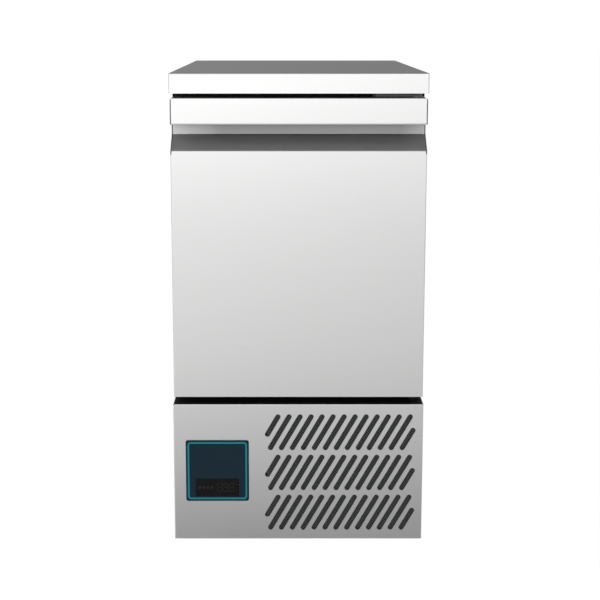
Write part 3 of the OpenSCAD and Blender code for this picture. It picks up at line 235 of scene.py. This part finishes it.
def brushedStainless(name, grain):
    sheet = brushedSheet
    material, tree, surface, place = startMaterial(name, sheet["colour"], 1.0, sheet["gloss"][0])
    along = [patternScale(sheet["lineGap"])] * 3
    along["xyz".index(grain)] = patternScale(sheet["lineLength"])
    stretched = addNode(tree, "ShaderNodeMapping", {"Vector": place, "Scale": along})
    lines = addNode(tree, "ShaderNodeTexNoise", {
        "Vector": stretched.outputs[0], "Scale": 1.0, "Detail": 3.0, "Roughness": 0.6})
    smudges = addNode(tree, "ShaderNodeTexNoise", {
        "Vector": place, "Scale": patternScale(sheet["smudge"]), "Detail": 2.0})
    mixed = addNode(tree, "ShaderNodeMix", {
        0: sheet["smudgeShare"], 2: lines.outputs[0], 3: smudges.outputs[0]})
    varySurface(tree, surface, mixed.outputs[0], sheet["shades"], sheet["gloss"])
    varySurface(tree, surface, lines.outputs[0], depth=sheet["relief"])
    return material


# The handle is the same sheet. Inside its scoop the belt doesn't reach, so the steel is rougher, and its
# colour is painted shade under the rail: the slope is painted darker and the back behind the lip darkest,
# with a faint random mottle. Towards its open ends the back is painted lighter again, as painted light.
# Along y the scoop starts at "edge" and its back at "wall". The list of ends gives the x of each end, the x
# where its painted light has faded out, and the share of bright steel at the end.
scoop = {"slope": ("#bababa", "#c2c2c2"), "back": ("#999999", "#a1a1a1"), "gloss": 0.46, "mottle": 35,
         "edge": (-346.2, -343.5), "wall": (-316.5, -314.5),
         "ends": [(-222, -135, 0.64), (222, 180, 0.36)]}


def scoopStainlessPaintedShade():
    material = brushedStainless("brushed stainless with painted shade in the scoop", "x")
    tree = material.node_tree
    surface = next(n for n in tree.nodes if n.type == "BSDF_PRINCIPLED")
    place = addNode(tree, "ShaderNodeTexCoord").outputs["Object"]
    at = addNode(tree, "ShaderNodeSeparateXYZ", {0: place})
    mottle = addNode(tree, "ShaderNodeTexNoise", {
        "Vector": place, "Scale": patternScale(scoop["mottle"]), "Detail": 3.0})
    inside, behind = [
        addNode(tree, "ShaderNodeMapRange", {0: at.outputs[1], 1: near * mm, 2: far * mm})
        for near, far in (scoop["edge"], scoop["wall"])]
    # Painted shade: the slope and the back get darker colours than the brushed sheet
    slope, back = [
        addNode(tree, "ShaderNodeMix", {0: mottle.outputs[0], 6: linearHex(dark), 7: linearHex(pale)},
                data_type="RGBA").outputs[2]
        for dark, pale in (scoop["slope"], scoop["back"])]
    bright = surface.inputs["Base Color"].links[0].from_socket
    # Painted light: towards each open end the back is painted lighter, back to the bright steel
    for edge, fade, share in scoop["ends"]:
        endLight = addNode(tree, "ShaderNodeMapRange", {
            0: at.outputs[0], 1: fade * mm, 2: edge * mm, 3: 0.0, 4: share})
        back = addNode(tree, "ShaderNodeMix", {0: endLight.outputs[0], 6: back, 7: bright},
                       data_type="RGBA").outputs[2]
    paintedShadeColour = addNode(tree, "ShaderNodeMix", {0: behind.outputs[0], 6: slope, 7: back}, data_type="RGBA")
    colour = addNode(tree, "ShaderNodeMix", {0: inside.outputs[0], 6: bright, 7: paintedShadeColour.outputs[2]},
                     data_type="RGBA")
    tree.links.new(colour.outputs[2], surface.inputs["Base Color"])
    smooth = surface.inputs["Roughness"].links[0].from_socket
    gloss = addNode(tree, "ShaderNodeMix", {0: inside.outputs[0], 2: smooth, 3: scoop["gloss"]})
    tree.links.new(gloss.outputs[0], surface.inputs["Roughness"])
    return material


# Hot-dip galvanised sheet: zinc crystals 8 to 15 mm wide, each with a tone and a gloss of its own
spangle = {"crystal": 11, "wander": 9, "bend": 0.006, "shades": ("#acb1b3", "#bfc3c4"),
           "gloss": (0.42, 0.52), "relief": 0.01}


def galvanisedSheet():
    material, tree, surface, place = startMaterial(
        "galvanised steel", spangle["shades"][0], 1.0, spangle["gloss"][0])
    wander = addNode(tree, "ShaderNodeTexNoise", {
        "Vector": place, "Scale": patternScale(spangle["wander"]), "Detail": 2.0})
    bent = addNode(tree, "ShaderNodeMix", {0: spangle["bend"], 4: place, 5: wander.outputs[1]},
                   data_type="VECTOR")
    crystals = addNode(tree, "ShaderNodeTexVoronoi", {
        "Vector": bent.outputs[1], "Scale": patternScale(spangle["crystal"])})
    tone = addNode(tree, "ShaderNodeSeparateColor", {0: crystals.outputs["Color"]})
    varySurface(tree, surface, tone.outputs[0], spangle["shades"], spangle["gloss"])
    varySurface(tree, surface, crystals.outputs["Distance"], depth=spangle["relief"])
    return material


# Rigid polyurethane foam: cut cells about 1.5 mm wide, cream that yellows in patches
foam = {"patch": 40, "cell": 1.5, "shades": ("#dccf9c", "#ebe3bf"), "gloss": (0.78, 0.92), "relief": 0.3}


def polyurethaneFoam():
    material, tree, surface, place = startMaterial(
        "polyurethane foam", foam["shades"][0], 0.0, foam["gloss"][0])
    patches = addNode(tree, "ShaderNodeTexNoise", {
        "Vector": place, "Scale": patternScale(foam["patch"]), "Detail": 3.0})
    varySurface(tree, surface, patches.outputs[0], foam["shades"], foam["gloss"])
    cells = addNode(tree, "ShaderNodeTexVoronoi", {"Vector": place, "Scale": patternScale(foam["cell"])})
    varySurface(tree, surface, cells.outputs["Distance"], depth=foam["relief"])
    return material


# Birch plywood: pale long fibres along the board, with open grain 2 mm apart
plywood = {"fibre": (2, 90, 1.5), "shades": ("#96764f", "#bda27b"), "gloss": (0.52, 0.7), "relief": 0.05}


def plywoodBoard():
    material, tree, surface, place = startMaterial(
        "birch plywood", plywood["shades"][0], 0.0, plywood["gloss"][0])
    stretched = addNode(tree, "ShaderNodeMapping", {
        "Vector": place, "Scale": [patternScale(size) for size in plywood["fibre"]]})
    fibres = addNode(tree, "ShaderNodeTexNoise", {
        "Vector": stretched.outputs[0], "Scale": 1.0, "Detail": 4.0, "Distortion": 0.4})
    varySurface(tree, surface, fibres.outputs[0], plywood["shades"], plywood["gloss"], plywood["relief"])
    return material


# Woven polypropylene filter net: pale dusty strands over a pad that stays nearly black behind them.
# The real strands are about 1 mm apart, too fine to show, so they are drawn 3.7 mm apart.
filterNet = {"frame": 7, "strand": 0.9, "gap": 3.7, "pad": 0.7, "face": 0.3, "dust": 20,
             "weltShades": ("#2b2c2d", "#353637"), "strandShades": ("#454646", "#565757"),
             "padShades": ("#060707", "#0d0e0e"), "gloss": (0.6, 0.82)}


def filterWeave():
    low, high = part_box("air_filter")
    material, tree, surface, place = startMaterial(
        "woven polypropylene", filterNet["strandShades"][1], 0.0, filterNet["gloss"][0])
    dust = addNode(tree, "ShaderNodeTexNoise", {
        "Vector": place, "Scale": patternScale(filterNet["dust"]), "Detail": 4.0})
    depth = addNode(tree, "ShaderNodeSeparateXYZ", {0: place})
    middle = (low.y + high.y) / 2
    frontShare, padShare = [
        addNode(tree, "ShaderNodeMapRange", {0: depth.outputs[1], 1: near, 2: far})
        for near, far in ((low.y + filterNet["face"] * mm, middle - filterNet["strand"] * mm),
                          (middle + filterNet["strand"] * mm, high.y - filterNet["pad"] * mm))]
    welt, strands, pad = [
        addNode(tree, "ShaderNodeMix", {
            0: dust.outputs[0], 6: linearHex(filterNet[shades][0]), 7: linearHex(filterNet[shades][1])},
            data_type="RGBA")
        for shades in ("weltShades", "strandShades", "padShades")]
    front = addNode(tree, "ShaderNodeMix", {
        0: frontShare.outputs[0], 6: welt.outputs[2], 7: strands.outputs[2]}, data_type="RGBA")
    both = addNode(tree, "ShaderNodeMix", {
        0: padShare.outputs[0], 6: front.outputs[2], 7: pad.outputs[2]}, data_type="RGBA")
    tree.links.new(both.outputs[2], surface.inputs["Base Color"])
    varySurface(tree, surface, dust.outputs[0], roughness=filterNet["gloss"])
    return material


# Finned coil: mill-finish aluminium between its end plates, and copper where the bends come out
coil = {"bendInset": 16, "patch": 14, "fins": ("#b9bdbf", "#d4d6d6"), "bends": ("#a9623f", "#c98660"),
        "gloss": (0.3, 0.46)}


def finnedCoil(name, node):
    low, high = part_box(node)
    material, tree, surface, place = startMaterial(name, coil["fins"][1], 1.0, coil["gloss"][0])
    grain = addNode(tree, "ShaderNodeTexNoise", {
        "Vector": place, "Scale": patternScale(coil["patch"]), "Detail": 3.0})
    fins, bends = [
        addNode(tree, "ShaderNodeMix", {0: grain.outputs[0], 6: linearHex(dark), 7: linearHex(pale)},
                data_type="RGBA")
        for dark, pale in (coil["fins"], coil["bends"])]
    across = addNode(tree, "ShaderNodeSeparateXYZ", {0: place})
    offset = addNode(tree, "ShaderNodeMath", {0: across.outputs[0], 1: (low.x + high.x) / 2},
                     operation="SUBTRACT")
    distance = addNode(tree, "ShaderNodeMath", {0: offset.outputs[0]}, operation="ABSOLUTE")
    outside = addNode(tree, "ShaderNodeMath", {
        0: distance.outputs[0], 1: (high.x - low.x) / 2 - coil["bendInset"] * mm},
        operation="GREATER_THAN")
    both = addNode(tree, "ShaderNodeMix", {
        0: outside.outputs[0], 6: fins.outputs[2], 7: bends.outputs[2]}, data_type="RGBA")
    tree.links.new(both.outputs[2], surface.inputs["Base Color"])
    varySurface(tree, surface, grain.outputs[0], roughness=coil["gloss"])
    return material


# Sheets, coats and mouldings whose skin is one clouded tone over a fine grain. "patch" is the width of
# the clouds and "grain" that of the fine relief; without "grain" the clouds themselves stand up.
skins = {
    # Cold-rolled 2B stainless for the chamber: greyer and cloudier than the brushed front, with no lines
    "chamber_stainless": {
        "name": "rolled stainless", "metal": 1.0, "shades": ("#c6c9ca", "#d6d7d6"), "gloss": (0.30, 0.42),
        "patch": 55, "clouds": {"Detail": 4.0, "Roughness": 0.55}, "grain": 3, "fine": 2.0, "relief": 0.004},
    # Bright zinc plate with a clear passivate: faint blue and straw clouds over a fine satin base
    "zinc_plated_steel": {
        "name": "zinc plated steel", "metal": 1.0, "shades": ("#b3bac2", "#c9c7bd"), "gloss": (0.26, 0.40),
        "patch": 18, "clouds": {"Detail": 3.0, "Distortion": 0.6}},
    # Drawn copper tube: warm and bright, browned in patches by heat from brazing
    "copper": {
        "name": "drawn copper", "metal": 1.0, "shades": ("#9b5c3d", "#d0906a"), "gloss": (0.22, 0.44),
        "patch": 22, "clouds": {"Detail": 4.0, "Distortion": 0.5}},
    # Epoxy-dipped wire: a thick glossy grey coat that flows smooth and pools a little at the joints
    "coated_wire": {
        "name": "epoxy coated wire", "shades": ("#bcc2c4", "#cacfcf"), "gloss": (0.22, 0.34),
        "patch": 6, "clouds": {"Detail": 2.0}, "relief": 0.03,
        "shader": {"Coat Weight": 0.35, "Coat Roughness": 0.12}},
    # Powder coated steel: orange peel that softens the glints
    "black_frame_paint": {
        "name": "black powder coat", "shades": ("#08090a", "#0d0e0f"), "gloss": (0.42, 0.54),
        "shader": {"Specular IOR Level": 0.2}, "grain": 1.4, "relief": 0.02},
    "grey_bracket_steel": {
        "name": "grey powder coat", "shades": ("#757677", "#818283"), "gloss": (0.36, 0.48),
        "grain": 1.4, "relief": 0.02},
    # Dipped enamel on the motor, a little uneven, and a glossier one over the compressor's drawn shell
    "motor_paint": {
        "name": "black motor enamel", "shades": ("#222426", "#303336"), "gloss": (0.3, 0.42),
        "grain": 1.8, "relief": 0.02},
    "compressor_paint": {
        "name": "black shell enamel", "shades": ("#121314", "#1c1d1e"), "gloss": (0.22, 0.36),
        "grain": 2.4, "relief": 0.03},
    # Spark-textured polypropylene moulding: a dry black with hardly any shine
    "black_plastic": {
        "name": "black polypropylene", "shades": ("#0e0f10", "#161718"), "gloss": (0.45, 0.6),
        "shader": {"Specular IOR Level": 0.3}, "grain": 0.9, "relief": 0.012},
    # Fine-textured moulded ABS: the handle's end caps, and the paler electrical housing
    "grey_cap_plastic": {
        "name": "grey ABS", "shades": ("#434547", "#4d4f51"), "gloss": (0.42, 0.52),
        "shader": {"Specular IOR Level": 0.3}, "grain": 0.7, "relief": 0.008},
    "grey_box_plastic": {
        "name": "light grey ABS", "shades": ("#c3c5c3", "#cfd0ce"), "gloss": (0.46, 0.58),
        "grain": 0.8, "relief": 0.008},
    # Machined nylon bushes and drain parts, slightly waxy
    "white_plastic": {
        "name": "white nylon", "shades": ("#e2e1da", "#eeede7"), "gloss": (0.34, 0.44),
        "grain": 2.5, "relief": 0.006},
    # Glass-filled nylon feet: coarse and matt, with paler scuffs
    "black_foot": {
        "name": "black glass-filled nylon", "shades": ("#18191a", "#27282a"), "gloss": (0.5, 0.66),
        "grain": 1.1, "relief": 0.015},
    # Extruded soft PVC: matt, nearly black, with a dusting of lighter bloom
    "gasket_rubber": {
        "name": "soft PVC", "shades": ("#333437", "#434447"), "gloss": (0.55, 0.72),
        "patch": 24, "clouds": {"Detail": 4.0}, "grain": 0.8, "fine": 2.0, "relief": 0.01},
    # Polyester overlay printed from behind, in navy and in teal: a fine matt emboss with little shine
    "navy_fascia": {
        "name": "navy polyester overlay", "shades": ("#0b222e", "#102834"), "gloss": (0.4, 0.48),
        "shader": {"Specular IOR Level": 0.16}, "patch": 26, "clouds": {"Detail": 2.0},
        "grain": 0.6, "fine": 2.0, "relief": 0.004},
    "teal_line": {
        "name": "teal screen print", "shades": ("#157e88", "#1b858e"), "gloss": (0.38, 0.46),
        "shader": {"Specular IOR Level": 0.16}, "patch": 26, "clouds": {"Detail": 2.0},
        "grain": 0.6, "fine": 2.0, "relief": 0.004},
    # Smoked acrylic over the display: near black, polished, with the faintest dust
    "display_plastic": {
        "name": "smoked acrylic", "shades": ("#070708", "#141414"), "gloss": (0.18, 0.3),
        "shader": {"Specular IOR Level": 0.18}, "patch": 9, "clouds": {"Detail": 5.0}},
}


def cloudedSkin(skin):
    material, tree, surface, place = startMaterial(
        skin["name"], skin["shades"][0], skin.get("metal", 0.0), skin["gloss"][0], **skin.get("shader", {}))
    clouds = addNode(tree, "ShaderNodeTexNoise", {
        "Vector": place, "Scale": patternScale(skin.get("patch", 30)), **skin.get("clouds", {"Detail": 3.0})})
    varySurface(tree, surface, clouds.outputs[0], skin["shades"], skin["gloss"])
    raised = clouds
    if "grain" in skin:
        raised = addNode(tree, "ShaderNodeTexNoise", {
            "Vector": place, "Scale": patternScale(skin["grain"]), "Detail": skin.get("fine", 1.0)})
    varySurface(tree, surface, raised.outputs[0], depth=skin.get("relief"))
    return material


finishes = {slot: cloudedSkin(skin) for slot, skin in skins.items()}
finishes["brushed_stainless"] = brushedStainless("brushed stainless across", "x")
finishes["galvanised_steel"] = galvanisedSheet()
finishes["polyurethane_foam"] = polyurethaneFoam()
finishes["plywood"] = plywoodBoard()
finishes["filter_mesh"] = filterWeave()
finishes["fin_aluminium"] = finnedCoil("aluminium fins on copper", "condenser_coil")
upright = brushedStainless("brushed stainless upright", "z")
ownFinishes = {
    "side_panel_left": upright,
    "side_panel_right": upright,
    "evaporator_coil": finnedCoil("aluminium fins on evaporator", "evaporator_coil"),
    # The handle's scoop carries painted shade and painted light
    "door_handle": scoopStainlessPaintedShade(),
}
slots = {part["node"]: part["material_slot"] for part in frame["record"]["subparts"]}
for name, node in nodes.items():
    node.data.materials.clear()
    node.data.materials.append(ownFinishes.get(name, finishes[slots[name]]))
print("finishes:", len(finishes), "and pieces with their own:", len(ownFinishes))


# Pieces, in mm

def addPiece(name, vertices, faces, body, slot):
    mesh = bpy.data.meshes.new(name)
    mesh.from_pydata([Vector(v) * mm for v in vertices], [], faces)
    shape = bmesh.new()
    shape.from_mesh(mesh)
    bmesh.ops.recalc_face_normals(shape, faces=shape.faces)
    shape.to_mesh(mesh)
    shape.free()
    piece = bpy.data.objects.new(name, mesh)
    scene.collection.objects.link(piece)
    mesh.materials.append(finishes[slot])
    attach(piece, body)
    return piece


# Adds the walls between outlines of the same number of points that follow each other in the vertices
def addWalls(faces, first, count, levels):
    for level in range(levels):
        here = first + level * count
        for i in range(count):
            j = (i + 1) % count
            faces.append([here + i, here + j, here + count + j, here + count + i])


# Adds a closed prism: its outline lies in x and z, and it runs from y0 to y1
def addPrism(vertices, faces, outline, y0, y1):
    first = len(vertices)
    count = len(outline)
    vertices += [(x, y0, z) for x, z in outline] + [(x, y1, z) for x, z in outline]
    faces.append([first + i for i in range(count)])
    faces.append([first + count + i for i in reversed(range(count))])
    addWalls(faces, first, count, 1)


def boxMm(node):
    low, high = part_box(node)
    return low / mm, high / mm


# Door gasket: half of its profile, with the dart base, two bellows and the magnet's bar. The other
# half mirrors it, and the corners are mitred.
gasket = {"half": [(2.0, 0), (2.0, 1.5), (3.8, 1.9), (2.3, 2.9), (3.8, 3.9), (1.5, 4.4), (0.4, 5.0),
                   (0.4, 6.8), (1.0, 7.4)],
          "width": 16}

low, high = boxMm("door_gasket")
halfX, halfZ = (high.x - low.x) / 2, (high.z - low.z) / 2
middleX, middleZ = (high.x + low.x) / 2, (high.z + low.z) / 2
profile = gasket["half"] + [(gasket["width"] - u, v) for u, v in reversed(gasket["half"])]
reachY = (high.y - low.y) / max(v for u, v in profile)
corners = [(-1, -1), (1, -1), (1, 1), (-1, 1)]
vertices = [(middleX + sx * (halfX - u), low.y + v * reachY, middleZ + sz * (halfZ - u))
            for sx, sz in corners for u, v in profile]
count = len(profile)
faces = []
for corner in range(len(corners)):
    here = corner * count
    there = (corner + 1) % len(corners) * count
    for i in range(count):
        j = (i + 1) % count
        faces.append([here + i, here + j, there + j, there + i])
seal = addPiece("bellowsGasket", vertices, faces, "door", "gasket_rubber")
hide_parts("door_gasket")

# Air filter: a welted frame with a thin pad behind a net of crossed strands, seen through the slots
low, high = boxMm("air_filter")
rim = filterNet["frame"]
inX0, inX1 = low.x + rim, high.x - rim
inZ0, inZ1 = low.z + rim, high.z - rim
vertices = []
faces = []
for x0, x1, z0, z1, y0 in [(low.x, high.x, low.z, inZ0, low.y), (low.x, high.x, inZ1, high.z, low.y),
                           (low.x, inX0, inZ0, inZ1, low.y), (inX1, high.x, inZ0, inZ1, low.y),
                           (inX0, inX1, inZ0, inZ1, high.y - filterNet["pad"])]:
    addPrism(vertices, faces, [(x0, z0), (x1, z0), (x1, z1), (x0, z1)], y0, high.y)
half = filterNet["strand"] / 2 * math.sqrt(2)
step = filterNet["gap"] * math.sqrt(2)
middleY = (low.y + high.y) / 2
tall = inZ1 - inZ0
for lean, y0 in ((1, middleY - filterNet["strand"]), (-1, middleY)):   # rising right, then falling
    for index in range(1, int((inX1 - inX0 + tall) / step)):
        offset = index * step
        x = inX0 + max(0, offset - tall)
        z = inZ1 - min(offset, tall) if lean > 0 else inZ0 + min(offset, tall)
        run = min(inX1 - x, inZ1 - z if lean > 0 else z - inZ0)
        if run < step:
            continue
        endX, endZ = x + run, z + lean * run
        addPrism(vertices, faces, [(x, z - half), (endX, endZ - half), (endX, endZ + half), (x, z + half)],
                 y0, y0 + filterNet["strand"])
net = addPiece("filterNet", vertices, faces, "cabinet", "filter_mesh")
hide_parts("air_filter")

# Display: a bevelled acrylic lens in the fascia's window, with three unlit digits and four keys
display = {"middle": (-146.3, 113.3), "size": (78.7, 33.0), "corner": 2.0, "bevel": 0.25,
           "back": -347.75, "front": -348.3, "mark": 0.05,
           "digits": 3, "digitSize": (8.0, 15.0), "digitFrom": 0.0, "digitStep": 11.0,
           "stroke": 1.3, "strokeGap": 0.35,
           "keys": 4, "keySize": 5.0, "keyCorner": 1.2, "keyFrom": -32.5, "keyStep": 7.4}
unlitSegments = {"name": "unlit segments", "shades": ("#19191b", "#262628"), "gloss": (0.26, 0.38),
                 "shader": {"Specular IOR Level": 0.22}, "patch": 6, "clouds": {"Detail": 2.0}}


def roundedOutline(x, z, width, height, radius, steps=6):
    outline = []
    for turn, (sx, sz) in enumerate([(1, 1), (-1, 1), (-1, -1), (1, -1)]):
        for i in range(steps + 1):
            angle = math.radians(90 * (turn + i / steps))
            outline.append((x + sx * (width / 2 - radius) + radius * math.cos(angle),
                            z + sz * (height / 2 - radius) + radius * math.sin(angle)))
    return outline


x, z = display["middle"]
width, height = display["size"]
bevel = display["bevel"]
outer = roundedOutline(x, z, width, height, display["corner"])
inner = roundedOutline(x, z, width - 2 * bevel, height - 2 * bevel, display["corner"])
vertices = [(px, y, pz) for outline, y in ((outer, display["back"]), (outer, display["front"] + bevel),
                                           (inner, display["front"])) for px, pz in outline]
count = len(outer)
faces = [list(range(count)), [2 * count + i for i in reversed(range(count))]]
addWalls(faces, 0, count, 2)
addPiece("displayLens", vertices, faces, "cabinet", "display_plastic")

vertices = []
faces = []
digitWide, digitHigh = display["digitSize"]
halfStroke = display["stroke"] / 2
outlines = []
for digit in range(display["digits"]):
    cx = x + display["digitFrom"] + digit * display["digitStep"] + digitWide / 2
    for flat, dx, dz in [(True, 0, digitHigh / 2), (True, 0, 0), (True, 0, -digitHigh / 2),
                         (False, -digitWide / 2, digitHigh / 4), (False, digitWide / 2, digitHigh / 4),
                         (False, -digitWide / 2, -digitHigh / 4), (False, digitWide / 2, -digitHigh / 4)]:
        tip = (digitWide if flat else digitHigh / 2) / 2 - display["strokeGap"]
        shoulder = tip - halfStroke
        stroke = [(-tip, 0), (-shoulder, halfStroke), (shoulder, halfStroke),
                  (tip, 0), (shoulder, -halfStroke), (-shoulder, -halfStroke)]
        outlines.append([(cx + dx + a, z + dz + b) if flat else (cx + dx + b, z + dz + a)
                         for a, b in stroke])
for key in range(display["keys"]):
    outlines.append(roundedOutline(x + display["keyFrom"] + key * display["keyStep"], z,
                                   display["keySize"], display["keySize"], display["keyCorner"], 4))
for outline in outlines:
    addPrism(vertices, faces, outline, display["front"] - display["mark"],
             display["front"] + display["mark"])
marks = addPiece("displayMarks", vertices, faces, "cabinet", "display_plastic")
marks.data.materials[0] = cloudedSkin(unlitSegments)
print("pieces made")
